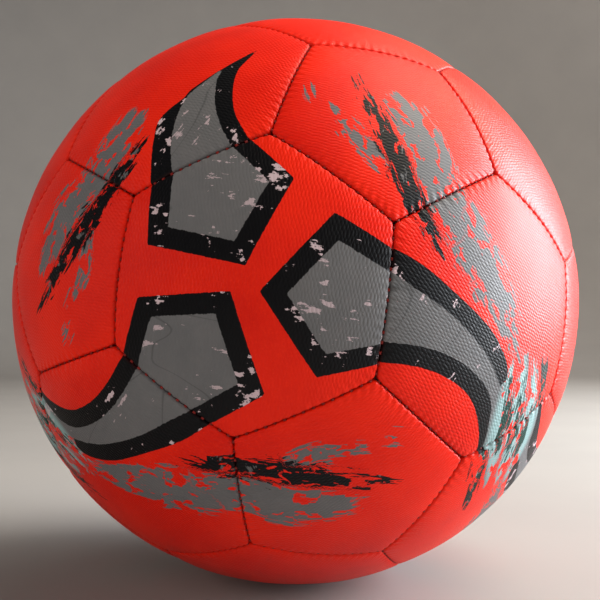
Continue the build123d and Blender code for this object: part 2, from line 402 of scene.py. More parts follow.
SHIELD_BLACK = [
    (4.5, 1.5),
    (22.3, -23),
    *smooth_run([(40.4, -15), (50, -11.2), (61, -4.8), (74, 3.4), (81, 10), (85.4, 16.5), (86, 21)]),
    *smooth_run([(83.4, 23), (84.4, 30), (84.6, 38), (85, 46)]),
    *smooth_run([(81, 48), (79.4, 41), (76, 33), (70.8, 26.2), (61.5, 20.8), (51, 18.2), (40.4, 17.9)]),
    (22.6, 23.4),
]
SHIELD_GREY = [
    (12, 1.3),
    (24.2, -15.2),
    *smooth_run(
        [(40.2, -8.2), (48.6, -4), (58, 0.4), (68.8, 7.4), (76.4, 14), (82, 21), (86, 28), (88, 36), (88, 46)]
    ),
    *smooth_run(
        [(83.4, 46), (82.4, 37), (81.4, 29.6), (76.6, 22.6), (68.4, 17), (59.6, 13.6), (50, 12), (40.3, 12)]
    ),
    (24.4, 16.5),
]
SHORT_BLACK = [
    (4.5, 1.5),
    (22.3, -23),
    *smooth_run([(40.4, -16), (53.5, -11.7), (61.8, -7.4), (66, 1.9)]),
    (68.3, 4.5),
    (73, 17.4),
    *smooth_run(
        [(73, 17.4), (75.4, 24), (77.5, 30), (73.5, 26), (68.8, 21.2), (60, 17.2), (50.2, 15.2), (40.6, 16)]
    ),
    (22.6, 23.4),
]
SHORT_GREY = [
    (12, 1.3),
    (24.2, -15.2),
    *smooth_run([(39.6, -8.8), (50, -6.2), (60, -1.6), (66.5, 3.4)]),
    (73, 17.4),
    *smooth_run([(68.3, 13.8), (59, 10.8), (49.2, 9.8), (40.2, 10.4)]),
    (24.4, 16.5),
]

# Brush strokes: the ink, then (towards the wing, to the right, half the width) along each one.
LONG_BLACK = [
    (56.5, -13, 0.6),
    (51, -22.5, 2.8),
    (45.5, -31, 3.5),
    (40.5, -40, 4.4),
    (34.5, -52, 3.4),
    (29, -63, 1.9),
    (24, -74, 0.2),
]
LONG_GREY = [(68, -19, 6.5), (59, -28, 8), (52.5, -39, 7.5), (49.5, -50, 8.5), (41, -62, 5.5), (36, -68, 1)]
STROKES = [
    ("black", LONG_BLACK),
    ("grey", LONG_GREY),
    ("grey", [(39, -39, 0.8), (34, -42, 3), (28, -46, 3.2), (23, -52, 2.6), (19, -57.5, 0.8)]),
    ("grey", [(12.5, -60, 0.4), (11, -62.5, 1.6), (10, -65, 0.2)]),
    ("grey", [(91, 14, 1), (83, 3, 5), (76, -7, 7.5), (69, -17, 8.5), (62, -27, 8)]),
]
BURST = [
    ("grey", [(88, 47, 4.5), (88, 34, 5), (87.5, 20, 3), (86, 12, 0.5)]),
    ("grey", [(95, 43, 4.5), (95, 27, 4.6), (93, 11, 0.6)]),
    ("grey", [(104, 38, 4.2), (103, 26, 3.6), (99, 13, 0.6)]),
    ("black", [(89, 46, 2), (90, 32, 2.4), (88, 20, 0.4)]),
    ("black", [(98, 42, 2), (97, 32, 1.8), (95, 21, 0.2)]),
    ("black", [(110, 34, 2.4), (107.5, 18, 2.1), (101.5, 1, 0.1)]),
]
SHORT_STROKES = STROKES[:4]
STROKE_STEPS = 4  # short lines to each span of a stroke
STROKE_SHIFT_MM, COPY_SHIFT_MM = 50, 300  # keep the brush texture of different strokes and copies apart

HUB = np.array((0, -1.0, 0))
OUT = np.array((sin(WING_LEAN), 0, cos(WING_LEAN)))
RIGHT = np.cross(OUT, HUB)


def unrolled_place(out_mm, right_mm):
    """The direction on the ball of a place on the first copy of the print."""
    angle = sqrt(out_mm**2 + right_mm**2) / RADIUS_MM
    return cos(angle) * HUB + sin(angle) * unit(out_mm * OUT + right_mm * RIGHT)


SHORT_SEAM = unrolled_place(96.5, 38.5)  # the two shields that meet here stop short of it


def chart(points, turn):
    """Where directions on the ball lie in one copy of the print's unrolled surface, in millimetres."""
    angle = np.arccos(np.clip(points @ (turn @ HUB), -1, 1))
    stretch = RADIUS_MM * angle / np.maximum(np.sin(angle), 1e-6)
    return np.column_stack([points @ (turn @ OUT), points @ (turn @ RIGHT)]) * stretch[:, None]


def outline_field(places, outline):
    """Millimetres inside a closed outline. Outside it, they are negative."""
    outline = np.asarray(outline, float)
    nearest = np.full(len(places), np.inf)
    inside = np.zeros(len(places), bool)
    for a, b in zip(outline, np.roll(outline, -1, axis=0)):
        side = b - a
        share = np.clip((places - a) @ side / max(side @ side, 1e-9), 0, 1)
        nearest = np.minimum(nearest, np.hypot(*(places - a - share[:, None] * side).T))
        above = (places[:, 1] >= a[1]) != (places[:, 1] >= b[1])
        if above.any():
            cut = a[0] + (places[:, 1] - a[1]) * side[0] / (side[1] or 1e-9)
            inside ^= above & (places[:, 0] < cut)
    return np.where(inside, nearest, -nearest)


def stroke_field(places, stroke):
    """Millimetres inside a brush stroke, and the run along it and offset across it."""
    line = np.asarray(smooth_run(stroke, STROKE_STEPS))
    field = np.full(len(places), -np.inf)
    run, offset = np.zeros(len(places)), np.zeros(len(places))
    travelled = 0.0
    for a, b in zip(line, line[1:]):
        side = b[:2] - a[:2]
        length = np.hypot(*side)
        away = places - a[:2]
        share = np.clip(away @ side / length**2, 0, 1)
        rest = away - share[:, None] * side
        here = a[2] + (b[2] - a[2]) * share - np.hypot(*rest.T)
        better = here > field
        field = np.where(better, here, field)
        run = np.where(better, travelled + share * length, run)
        offset = np.where(better, (side[0] * rest[:, 1] - side[1] * rest[:, 0]) / length, offset)
        travelled += length
    return field, run, offset


def printed_fields(points, shift):
    """The print over one panel: how far inside each ink every point is, and how each stroke was dragged."""
    inks = ("black", "grey", "brush_black", "brush_grey", "burst")
    fields = {name: np.full(len(points), BLANK_MM) for name in inks}
    run, offset = np.zeros(len(points)), np.zeros(len(points))
    low, high = np.transpose(PRINT_AREA_MM)
    for number, turn in enumerate(PRINT_TURNS):
        places = chart(points, turn) + shift
        near = ((places > low) & (places < high)).all(axis=1) & (points @ (turn @ HUB) > PRINT_REACH_COSINE)
        if not near.any():
            continue
        here = places[near]
        short = (turn @ SHORT_SEAM) @ SHORT_SEAM > SAME_COSINE
        outlines = (SHORT_BLACK, SHORT_GREY) if short else (SHIELD_BLACK, SHIELD_GREY)
        for name, outline in zip(("black", "grey"), outlines):
            fields[name][near] = np.maximum(fields[name][near], outline_field(here, outline))
        strokes = SHORT_STROKES if short else STROKES + BURST
        for order, (ink, stroke) in enumerate(strokes):
            inside, along, beside = stroke_field(here, stroke)
            name = "brush_" + ink
            best = np.maximum(fields["brush_black"][near], fields["brush_grey"][near])
            better = inside > best
            apart = STROKE_SHIFT_MM * order + COPY_SHIFT_MM * number
            run[near] = np.where(better, along + apart, run[near])
            offset[near] = np.where(better, beside, offset[near])
            fields[name][near] = np.maximum(fields[name][near], inside)
            if order >= len(STROKES):
                fields["burst"][near] = np.maximum(fields["burst"][near], inside)
    return fields, run, offset


# ---- Panels as Blender pieces ----
def surface_wave(points, seed):
    """Slow rises and dips of the padding, as a few sine waves in set directions."""
    draw = np.random.default_rng(seed)
    height = np.zeros(len(points))
    for length_mm in WAVE_LENGTHS_MM:
        direction = unit(draw.normal(size=3))
        height += np.sin(points @ direction * RADIUS_MM * 2 * pi / length_mm + draw.uniform(0, 2 * pi))
    return SURFACE_WAVE_MM * height / 2


def mesh_piece(name, vertices, faces, material, body):
    mesh = bpy.data.meshes.new(name)
    mesh.from_pydata(vertices.tolist(), [], faces.tolist())
    mesh.shade_smooth()
    mesh.materials.append(material)
    piece = bpy.data.objects.new(name, mesh)
    bpy.context.scene.collection.objects.link(piece)
    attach(piece, body)
    return piece


def mark(piece, name, *columns):
    """Stores up to three numbers a vertex, under one name."""
    values = np.zeros((len(piece.data.vertices), 3), np.float32)
    for number, column in enumerate(columns):
        values[:, number] = column
    piece.data.attributes.new(name, "FLOAT_VECTOR", "POINT").data.foreach_set("vector", values.ravel())


CUTTING_ERROR_MM = 0.8  # how far a panel's print can be off its place
GRAIN_SHEET_MM = 500.0
SHELLS = {}


def make_panel(name, sides, axis, seed, materials):
    """One panel's skin, with its padding's unevenness, its print and the start of its grain drawn by seed."""
    hole = VALVE_HOLE_MM if name == "valve_hexagon" else 0.0
    if (sides, hole) not in SHELLS:
        SHELLS[sides, hole] = panel_shell(sides, hole)
    local, drops, faces = SHELLS[sides, hole]
    turn = panel_turn(name, axis)
    points = local @ turn.T
    sunk = np.minimum(surface_wave(points, seed) - SURFACE_WAVE_MM, 0)
    outer = np.clip(WAVE_DEPTH_MM - drops, 0, 1)
    reach_mm = RADIUS_MM - drops + sunk * outer
    kind = "plain" if name.startswith(("plain", "valve")) else "printed"
    piece = mesh_piece(name + "_skin", points * reach_mm[:, None] * MM, faces, materials[kind], "ball")
    draw = np.random.default_rng(seed)
    shift = draw.uniform(-CUTTING_ERROR_MM, CUTTING_ERROR_MM, 2)
    grain = draw.uniform(0, GRAIN_SHEET_MM)
    mark(piece, "panel_place", local[:, 0] * RADIUS_MM, local[:, 1] * RADIUS_MM, grain)
    if kind == "printed":
        fields, run, offset = printed_fields(points, shift)
        mark(piece, "printed_edge", fields["black"], fields["grey"], fields["burst"])
        mark(piece, "brushed_edge", fields["brush_black"], fields["brush_grey"])
        mark(piece, "brush_run", run, offset, grain)
    mark(piece, "seam_distance", seam_distance(sides, local))
    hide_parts(name)
    return piece


# ---- Stitches ----
THREAD_MM = 0.27  # its radius
STITCH_STRANDS = (1, -1)
STITCH_PATH_MM = (  # across the seam, along it, and below the ball's surface
    (-0.62, -0.62, 1.9),
    (-0.4, -0.42, 1.35),
    (0, -0.04, 1.05),
    (0.4, 0.34, 1.35),
    (0.62, 0.5, 1.9),
)
STRAND_SIDES = 8
STRAND_TAPER = 0.7
STITCH_SWAY_MM, STITCH_SINK_MM = 0.07, 0.06  # how much the stitches differ in place and depth


def strand(path, radius):
    """A closed round tube along a path of points, with its ends drawn in."""
    path = np.asarray(path)
    turns = np.arange(STRAND_SIDES) * 2 * pi / STRAND_SIDES
    heading = unit(np.gradient(path, axis=0))
    up = unit(path.mean(axis=0))
    side = unit(np.cross(heading, up))
    lift = np.cross(side, heading)
    widths = radius * np.array([STRAND_TAPER] + [1] * (len(path) - 2) + [STRAND_TAPER])
    rings = [
        centre + width * (np.cos(turns)[:, None] * s + np.sin(turns)[:, None] * u)
        for centre, width, s, u in zip(path, widths, side, lift)
    ]
    vertices = np.vstack([*rings, path[:1], path[-1:]])
    faces = []
    for ring in range(len(path) - 1):
        for k in range(STRAND_SIDES):
            a, b = ring * STRAND_SIDES + k, ring * STRAND_SIDES + (k + 1) % STRAND_SIDES
            faces += [(a, b + STRAND_SIDES, b), (a, a + STRAND_SIDES, b + STRAND_SIDES)]
    first, last = len(vertices) - 2, len(vertices) - 1
    end = (len(path) - 1) * STRAND_SIDES
    for k in range(STRAND_SIDES):
        following = (k + 1) % STRAND_SIDES
        faces += [(first, k, following), (last, end + following, end + k)]
    return vertices, np.array(faces)


def seam_stitches(first_axis, second_axis, first_sides, draw):
    """The stitches of the seam between two neighbouring panels."""
    toward_second = across(second_axis, first_axis)
    tilt = acos(cos(CORNER_ANGLE[first_sides]) / cos(SEAM_ANGLE / 2))
    middle = first_axis * cos(tilt) + toward_second * sin(tilt)
    along = unit(np.cross(first_axis, second_axis))
    made, count = [], 0
    for number in range(STITCHES):
        angle = ((number + 0.5) / STITCHES - 0.5) * SEAM_ANGLE
        up = middle * cos(angle) + along * sin(angle)
        ahead = along * cos(angle) - middle * sin(angle)
        side = np.cross(ahead, up)
        sway, sink = draw.normal(0, STITCH_SWAY_MM), draw.normal(0, STITCH_SINK_MM)
        for hand in STITCH_STRANDS:
            path = [
                (up * (RADIUS_MM - depth - sink) + side * over * hand + ahead * (run + sway)) * MM
                for over, run, depth in STITCH_PATH_MM
            ]
            vertices, faces = strand(path, THREAD_MM * MM * draw.uniform(0.9, 1.1))
            made.append((vertices, faces + count))
            count += len(vertices)
    return np.vstack([v for v, _ in made]), np.vstack([f for _, f in made])


def make_stitches(panels, material):
    """The stitches of each thread node, as one piece a node."""
    families = {}
    for (name, sides, axis), (other, other_sides, other_axis) in combinations(panels, 2):
        if axis @ other_axis < NEIGHBOUR_COSINE:
            continue
        kinds = [n.split("_")[0].replace("valve", "plain") for n in (name, other)]
        families.setdefault(frozenset(kinds), []).append((axis, other_axis, sides))
    for node in sorted(n for n in frame["nodes"] if n.endswith("_threads")):
        seams = families[frozenset(node.split("_")[:2])]
        draw = np.random.default_rng(len(node) + len(seams))
        made = [seam_stitches(*seam, draw) for seam in seams]
        offsets = np.cumsum([0] + [len(v) for v, _ in made[:-1]])
        vertices = np.vstack([v for v, _ in made])
        faces = np.vstack([f + offset for (_, f), offset in zip(made, offsets)])
        piece = mesh_piece(node.replace("threads", "stitches"), vertices, faces, material, "ball")
        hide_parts(node)


# ---- Valve ----
INSERT_LOW, INSERT_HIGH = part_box("valve_insert")
HOUSING_LOW, HOUSING_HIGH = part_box("valve_housing")
VALVE_HOLE_MM = 4.6  # radius, in the panel
NECK_RADIUS_MM = 4.5
TUBE_RADIUS_MM = 5.5
FLANGE_RADIUS_MM = 17.0
FLANGE_DROP_MM = 5.6  # the flange's middle, below the ball's surface
BORE_RADIUS_MM = 3.0
SEAT_MM = 1.5
FIT_MM = 0.05  # clearance of the insert in its housing
HEAD_RADIUS_MM = (INSERT_HIGH.x - INSERT_LOW.x) / 2 / MM
HEAD_MM = 1.4
NOSE_MM = 4.0
NEEDLE_RADIUS_MM = 1.0
NEEDLE_DEPTH_MM = 14.4
ON_AXIS_MM = 0.03  # how near to its axis a closed section comes
TURN_STEPS = 96


def turned_piece(name, profile, material, body):
    """A closed piece turned about +Y from its section, given as (radius, height) in millimetres."""
    turns = np.arange(TURN_STEPS) * 2 * pi / TURN_STEPS
    rings = [
        np.column_stack([r * np.cos(turns), np.full(TURN_STEPS, y), r * np.sin(turns)]) for r, y in profile
    ]
    count, faces = len(profile), []
    for ring in range(count):
        for k in range(TURN_STEPS):
            a, b = ring * TURN_STEPS + k, ring * TURN_STEPS + (k + 1) % TURN_STEPS
            c, d = [(v + TURN_STEPS) % (count * TURN_STEPS) for v in (a, b)]
            faces.append((a, c, d, b))
    return mesh_piece(name, np.vstack(rings) * MM, np.array(faces), material, body)


def bend(centre, radius, start, end, steps=5):
    """Points round an arc of a section, between two angles in degrees."""
    angles = np.radians(np.linspace(start, end, steps))
    return [(centre[0] + radius * cos(a), centre[1] + radius * sin(a)) for a in angles]


def housing_section():
    """A flange inside the bladder, with a neck out to the ball's surface and a tube inwards."""
    top, low = HOUSING_HIGH.y / MM, HOUSING_LOW.y / MM
    flange = RADIUS_MM - FLANGE_DROP_MM
    sag = flange - sqrt(flange**2 - FLANGE_RADIUS_MM**2)
    seat_radius, seat_low = HEAD_RADIUS_MM + FIT_MM, top - SEAT_MM
    edge, neck_edge, seat_edge = 0.4, 0.3, 0.12
    halfway = 0.6
    return [
        (BORE_RADIUS_MM, low),
        (TUBE_RADIUS_MM - edge, low),
        *bend((TUBE_RADIUS_MM - edge, low + edge), edge, -90, 0),
        (TUBE_RADIUS_MM, flange - 3 * edge),
        (FLANGE_RADIUS_MM - edge, flange - 0.5 - sag),
        *bend((FLANGE_RADIUS_MM - edge, flange - sag), edge, -90, 90),
        (FLANGE_RADIUS_MM * halfway, flange + edge - sag * halfway**2),
        (NECK_RADIUS_MM, flange + edge),
        *bend((NECK_RADIUS_MM - neck_edge, top - neck_edge), neck_edge, 0, 90),
        *bend((seat_radius + seat_edge, top - seat_edge), seat_edge, 90, 180),
        (seat_radius, seat_low),
        (BORE_RADIUS_MM, seat_low),
    ]


def insert_section():
    """A plug: a head with a ring groove and the needle's mouth, a shaft with its bore, and a closed nose."""
    top, low = INSERT_HIGH.y / MM, INSERT_LOW.y / MM
    shaft = BORE_RADIUS_MM - FIT_MM
    head_edge, nose_edge, groove = 0.35, 0.4, 0.25
    return [
        (ON_AXIS_MM, low),
        *bend((1.3, low + nose_edge), nose_edge, -90, -20),
        (shaft, low + NOSE_MM),
        (shaft, top - HEAD_MM),
        (HEAD_RADIUS_MM, top - HEAD_MM),
        *bend((HEAD_RADIUS_MM - head_edge, top - head_edge), head_edge, 0, 90),
        (HEAD_RADIUS_MM - 0.9, top),
        *bend((2.45, top), groove, 0, -180, 7),
        (1.85, top),
        (1.5, top - 0.18),
        (1.15, top - 0.55),
        (NEEDLE_RADIUS_MM, top - 1.0),
        (NEEDLE_RADIUS_MM, top - NEEDLE_DEPTH_MM),
        (ON_AXIS_MM, top - NEEDLE_DEPTH_MM - 0.3),
    ]


def make_valve(material):
    """The two turned rubber pieces, each in place of its node."""
    for node, section, body in (
        ("valve_housing", housing_section(), "ball"),
        ("valve_insert", insert_section(), "insert"),
    ):
        piece = turned_piece(node + "_rubber", section, material, body)
        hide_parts(node)


# ---- Materials ----
class Bench:
    """Adds nodes to one tree, and joins or sets their sockets."""

    def __init__(self, tree):
        self.tree = tree

    def add(self, kind, inputs=(), **settings):
        node = self.tree.nodes.new(kind)
        for key, value in settings.items():
            setattr(node, key, value)
        for key, value in dict(inputs).items():
            self.feed(node.inputs[key], value)
        return node

    def feed(self, socket, value):
        if isinstance(value, bpy.types.NodeSocket):
            self.tree.links.new(value, socket)
        else:
            socket.default_value = value

    def maths(self, operation, *values):
        return self.add("ShaderNodeMath", dict(enumerate(values)), operation=operation).outputs[0]

    def noise(self, place, scale, detail=2.0, roughness=0.5, distortion=0.0):
        sockets = dict(Vector=place, Scale=scale, Detail=detail, Roughness=roughness, Distortion=distortion)
        return self.add("ShaderNodeTexNoise", sockets).outputs["Fac"]

    def cells(self, place, scale, feature="F1"):
        return self.add("ShaderNodeTexVoronoi", dict(Vector=place, Scale=scale), feature=feature).outputs[0]

    def step(self, value, low, high, to_low=0.0, to_high=1.0):
        """A soft step between two values, from to_low to to_high."""
        sockets = {0: value, 1: low, 2: high, 3: to_low, 4: to_high}
        return self.add("ShaderNodeMapRange", sockets, interpolation_type="SMOOTHSTEP").outputs[0]

    def tint(self, factor, first, second):
        sockets = {0: factor, 6: first, 7: second}
        return self.add("ShaderNodeMix", sockets, data_type="RGBA").outputs[2]

    def stretched(self, place, *factors):
        return self.add("ShaderNodeVectorMath", {0: place, 1: factors}, operation="MULTIPLY").outputs[0]

    def split(self, vector):
        return self.add("ShaderNodeSeparateXYZ", {0: vector}).outputs

    def marked(self, name):
        return self.add("ShaderNodeAttribute", attribute_name=name).outputs["Vector"]

    def placed(self, group, inputs):
        return self.add("ShaderNodeGroup", inputs, node_tree=group).outputs


def effect_group(name, build, takes, gives):
    """A shader node group with named sockets. build gets its bench and inputs, and returns its outputs. An
    input with no value of its own is a place."""
    tree = bpy.data.node_groups.new(name, "ShaderNodeTree")
    for socket, value in takes.items():
        kind = "NodeSocketVector" if value is None else "NodeSocketFloat"
        made = tree.interface.new_socket(socket, in_out="INPUT", socket_type=kind)
        if value is not None:
            made.default_value = value
    for socket in gives:
        tree.interface.new_socket(socket, in_out="OUTPUT", socket_type="NodeSocketFloat")
    bench = Bench(tree)
    source = tree.nodes.new("NodeGroupInput").outputs
    sink = tree.nodes.new("NodeGroupOutput")
    for socket, value in build(bench, source).items():
        bench.feed(sink.inputs[socket], value)
    return tree


TORN_EDGE = 0.012  # over which a noise turns from ink to no ink


def build_grain(bench, given):
    """Embossed grain: rows of narrow lens-shaped ribs, each staggered against the next, with fine pores."""
    place = given["Place"]
    sway = bench.noise(place, 0.11, 2.0)
    x, y, z = bench.split(place)
    across_rib = bench.maths("MULTIPLY_ADD", x, given["Ribs per mm"], bench.maths("MULTIPLY", sway, 1.6))
    along_rib = bench.maths("MULTIPLY_ADD", y, given["Lengths per mm"], bench.noise(place, 0.3, 2.0))
    waves = {}
    for wave in ("SINE", "COSINE"):
        turns = [bench.maths(wave, bench.maths("MULTIPLY", run, pi)) for run in (across_rib, along_rib)]
        waves[wave] = bench.maths("ABSOLUTE", bench.maths("MULTIPLY", *turns))
    ribs = bench.maths("SMOOTH_MAX", waves["SINE"], waves["COSINE"], 0.1)
    pores = bench.noise(place, 2.6, 3.0, 0.6)
    height = bench.maths("MULTIPLY_ADD", pores, 0.3, ribs)
    return {"Height": height, "Crest": bench.step(ribs, 0.3, 0.95)}


def build_worn_edge(bench, given):
    """A printed edge stepped by the grain under it, from millimetres inside it."""
    steps = bench.noise(bench.stretched(given["Place"], 1.0, 0.5, 1.0), 1.1, 3.0, 0.6)
    ragged = bench.maths("MULTIPLY", bench.maths("SUBTRACT", steps, 0.5), given["Raggedness"])
    return {"Ink": bench.step(bench.maths("ADD", given["Inside"], ragged), -0.08, 0.08)}


def build_brush(bench, given):
    """Ink dragged on by a dry brush: bristle lines at its edges, and long torn holes all over it."""
    run, offset, seed = bench.split(given["Run"])

    def dragged(along, beside, roughness, distortion):
        x, y = bench.maths("MULTIPLY", run, along), bench.maths("MULTIPLY", offset, beside)
        place = bench.add("ShaderNodeCombineXYZ", {0: x, 1: y, 2: seed}).outputs[0]
        return bench.noise(place, 1.0, 4.0, roughness, distortion)

    lines = bench.maths("SUBTRACT", dragged(0.09, 0.75, 0.6, 0.0), 0.5)
    bristles = bench.maths("MULTIPLY", lines, given["Bristles"])
    solid = bench.step(bench.maths("ADD", given["Inside"], bristles), -0.12, 0.12)
    worn = bench.maths("MULTIPLY_ADD", given["Inside"], -0.012, dragged(0.16, 0.30, 0.62, 0.5))
    kept = bench.step(bench.maths("SUBTRACT", worn, given["Hole level"]), 0.0, TORN_EDGE, 1.0, 0.0)
    return {"Ink": bench.maths("MULTIPLY", solid, kept)}


def build_flecks(bench, given):
    """Worn-off flecks: small ragged islands, some drawn out into short scratches."""
    place = given["Place"]
    patches = bench.noise(place, 0.17, 5.0, 0.62)
    scratches = bench.noise(bench.stretched(place, 0.16, 0.9, 1.0), 1.0, 3.0, 0.6)
    spread = bench.noise(place, 0.035, 1.0)
    score = bench.maths("ADD", patches, bench.maths("MULTIPLY", scratches, 0.5))
    score = bench.maths("ADD", score, bench.maths("MULTIPLY", spread, 0.35))
    return {"Flecks": bench.step(bench.maths("SUBTRACT", score, given["Level"]), 0.0, TORN_EDGE)}


def build_creases(bench, given):
    """A few long faint fold lines."""
    field = bench.noise(bench.stretched(given["Place"], 0.02, 0.045, 1.0), 1.0, 1.5, 0.4)
    line = bench.maths("ABSOLUTE", bench.maths("SUBTRACT", field, 0.5))
    return {"Lines": bench.step(line, 0.0, 0.006, 1.0, 0.0)}


def build_soil(bench, given):
    """Handling dirt: a slow mottling, and more of it near the seams."""
    mottle = bench.noise(given["Place"], 0.05, 4.0, 0.6)
    near = bench.step(given["Seam distance"], 0.1, 1.1, 1.0, 0.0)
    return {"Mottle": mottle, "Soil": bench.maths("MULTIPLY", near, bench.step(mottle, 0.3, 0.75))}


EFFECT_ROWS = {
    "grain": (build_grain, {"Place": None, "Ribs per mm": 0.95, "Lengths per mm": 0.3}, ["Height", "Crest"]),
    "worn_edge": (build_worn_edge, {"Place": None, "Inside": 0.0, "Raggedness": 0.6}, ["Ink"]),
    "dry_brush": (build_brush, {"Run": None, "Inside": 0.0, "Bristles": 8.0, "Hole level": 0.6}, ["Ink"]),
    "flecks": (build_flecks, {"Place": None, "Level": 1.0}, ["Flecks"]),
    "creases": (build_creases, {"Place": None}, ["Lines"]),
    "soil": (build_soil, {"Place": None, "Seam distance": 9.0}, ["Mottle", "Soil"]),
}
EFFECTS = {name: effect_group(name, *row) for name, row in EFFECT_ROWS.items()}

NEON = (0.86, 0.017, 0.003, 1)
NEON_DEEP = (0.70, 0.009, 0.002, 1)
NEON_BRIGHT = (0.95, 0.035, 0.006, 1)
SEAM_SOIL = (0.05, 0.006, 0.005, 1)
PRINT_BLACK = (0.003, 0.003, 0.004, 1)
PRINT_GREY = (0.11, 0.113, 0.117, 1)
PRINT_GREY_WORN = (0.165, 0.158, 0.16, 1)
PRINT_FLECK = (0.58, 0.45, 0.48, 1)
CREASE_GREY = (0.06, 0.06, 0.062, 1)
# The burst's black and grey are tinted teal and paler: partly a teal print, partly a painted bluish-white
# glare, the window's reflection.
BURST_DARK_TEAL_AND_GLARE = (0.008, 0.045, 0.036, 1)
BURST_PALE_TEAL_AND_GLARE = (0.26, 0.40, 0.40, 1)

VALLEY_ROUGHNESS, CREST_ROUGHNESS = 0.42, 0.33
GRAIN_DEPTH_MM = 0.17
COVER_IOR = 1.27
SHIELD_WEAR_MM, FIELD_WEAR_MM = 0.5, 0.9  # how ragged the edges of the black and the grey are
BRISTLE_REACH_MM = 17.0
GREY_HOLES, BLACK_HOLES = 0.515, 0.55  # a higher level tears fewer holes in a brush stroke


def new_material(name):
    material = bpy.data.materials.new(name)
    material.use_nodes = True
    tree = material.node_tree
    shader = tree.nodes["Principled BSDF"]
    return material, Bench(tree), shader


def give_relief(bench, shader, depth_mm, height):
    relief = bench.add("ShaderNodeBump", {"Strength": 0.6, "Distance": depth_mm * MM, "Height": height})
    bench.feed(shader.inputs["Normal"], relief.outputs["Normal"])


def cover_surface(bench, shader, place, colour, gloss_change=None):
    """What both covers share: the grain's relief and crest gloss, and seam soil over the colour."""
    distance = bench.split(bench.marked("seam_distance"))[0]
    soil = bench.placed(EFFECTS["soil"], {"Place": place, "Seam distance": distance})
    soiled = bench.tint(bench.maths("MULTIPLY", soil["Soil"], 0.4), colour, SEAM_SOIL)
    bench.feed(shader.inputs["Base Color"], soiled)
    grain = bench.placed(EFFECTS["grain"], {"Place": place})
    roughness = bench.step(grain["Crest"], 0.0, 1.0, VALLEY_ROUGHNESS, CREST_ROUGHNESS)
    roughness = bench.maths("ADD", roughness, bench.maths("MULTIPLY", soil["Mottle"], 0.08))
    if gloss_change is not None:
        roughness = bench.maths("ADD", roughness, gloss_change)
    bench.feed(shader.inputs["Roughness"], roughness)
    give_relief(bench, shader, GRAIN_DEPTH_MM, grain["Height"])
    shader.inputs["IOR"].default_value = COVER_IOR


def neon_base(bench, place):
    """The cover's own colour, a little deeper and brighter in slow patches."""
    patches = bench.noise(place, 0.03, 3.0, 0.55)
    fine = bench.noise(place, 1.3, 3.0, 0.6)
    deep = bench.tint(bench.step(patches, 0.3, 0.7), NEON_DEEP, NEON)
    return bench.tint(bench.step(fine, 0.45, 0.8, 0.0, 0.35), deep, NEON_BRIGHT)


def plain_cover():
    material, bench, shader = new_material("neon_cover")
    place = bench.marked("panel_place")
    cover_surface(bench, shader, place, neon_base(bench, place))
    return material


def printed_cover():
    material, bench, shader = new_material("neon_cover_printed")
    place = bench.marked("panel_place")
    run = bench.marked("brush_run")
    black_in, grey_in, burst_teal_and_glare_in = bench.split(bench.marked("printed_edge"))
    brush_black_in, brush_grey_in, _ = bench.split(bench.marked("brushed_edge"))

    def edge(inside, raggedness):
        inputs = {"Place": place, "Inside": inside, "Raggedness": raggedness}
        return bench.placed(EFFECTS["worn_edge"], inputs)["Ink"]

    def brushed(inside, hole_level):
        inputs = {"Run": run, "Inside": inside, "Bristles": BRISTLE_REACH_MM, "Hole level": hole_level}
        return bench.placed(EFFECTS["dry_brush"], inputs)["Ink"]

    def flecked(level, *stretch):
        inputs = {"Place": bench.stretched(place, *stretch), "Level": level}
        return bench.placed(EFFECTS["flecks"], inputs)["Flecks"]

    shield = edge(black_in, SHIELD_WEAR_MM)
    field = edge(grey_in, FIELD_WEAR_MM)
    grey_brush = brushed(brush_grey_in, GREY_HOLES)
    black_brush = brushed(brush_black_in, BLACK_HOLES)
    flecks = flecked(1.068, 1.1, 0.9, 1.0)
    bare = flecked(1.075, 1.0, 1.25, 1.0)
    scuffs = flecked(1.045, 1.5, 1.5, 1.0)
    creases = bench.placed(EFFECTS["creases"], {"Place": place})["Lines"]

    grey = bench.tint(bench.noise(place, 0.12, 4.0, 0.65), PRINT_GREY, PRINT_GREY_WORN)
    # Inside the burst the grey and black turn teal: partly the print's own tint, partly painted glare.
    burst_teal_and_glare = bench.step(burst_teal_and_glare_in, -1.0, 3.0)
    grey = bench.tint(burst_teal_and_glare, grey, BURST_PALE_TEAL_AND_GLARE)
    black = bench.tint(burst_teal_and_glare, PRINT_BLACK, BURST_DARK_TEAL_AND_GLARE)
    base = neon_base(bench, place)
    colour = bench.tint(grey_brush, base, grey)
    black = bench.tint(bench.maths("MULTIPLY", scuffs, 0.8), black, grey)
    colour = bench.tint(black_brush, colour, black)
    colour = bench.tint(shield, colour, PRINT_BLACK)
    marked_black = bench.maths("MULTIPLY", shield, flecks)
    colour = bench.tint(marked_black, colour, PRINT_FLECK)
    worn_grey = bench.tint(bench.maths("MULTIPLY", creases, 0.55), grey, CREASE_GREY)
    worn_grey = bench.tint(bench.maths("MULTIPLY", bare, 0.75), worn_grey, PRINT_FLECK)
    colour = bench.tint(field, colour, worn_grey)

    inked = bench.maths("MAXIMUM", shield, bench.maths("MAXIMUM", grey_brush, black_brush))
    cover_surface(bench, shader, place, colour, bench.maths("MULTIPLY", inked, 0.05))
    return material


def object_place(bench):
    """A piece's own surface position in millimetres."""
    return bench.stretched(bench.add("ShaderNodeTexCoord").outputs["Object"], 1 / MM, 1 / MM, 1 / MM)


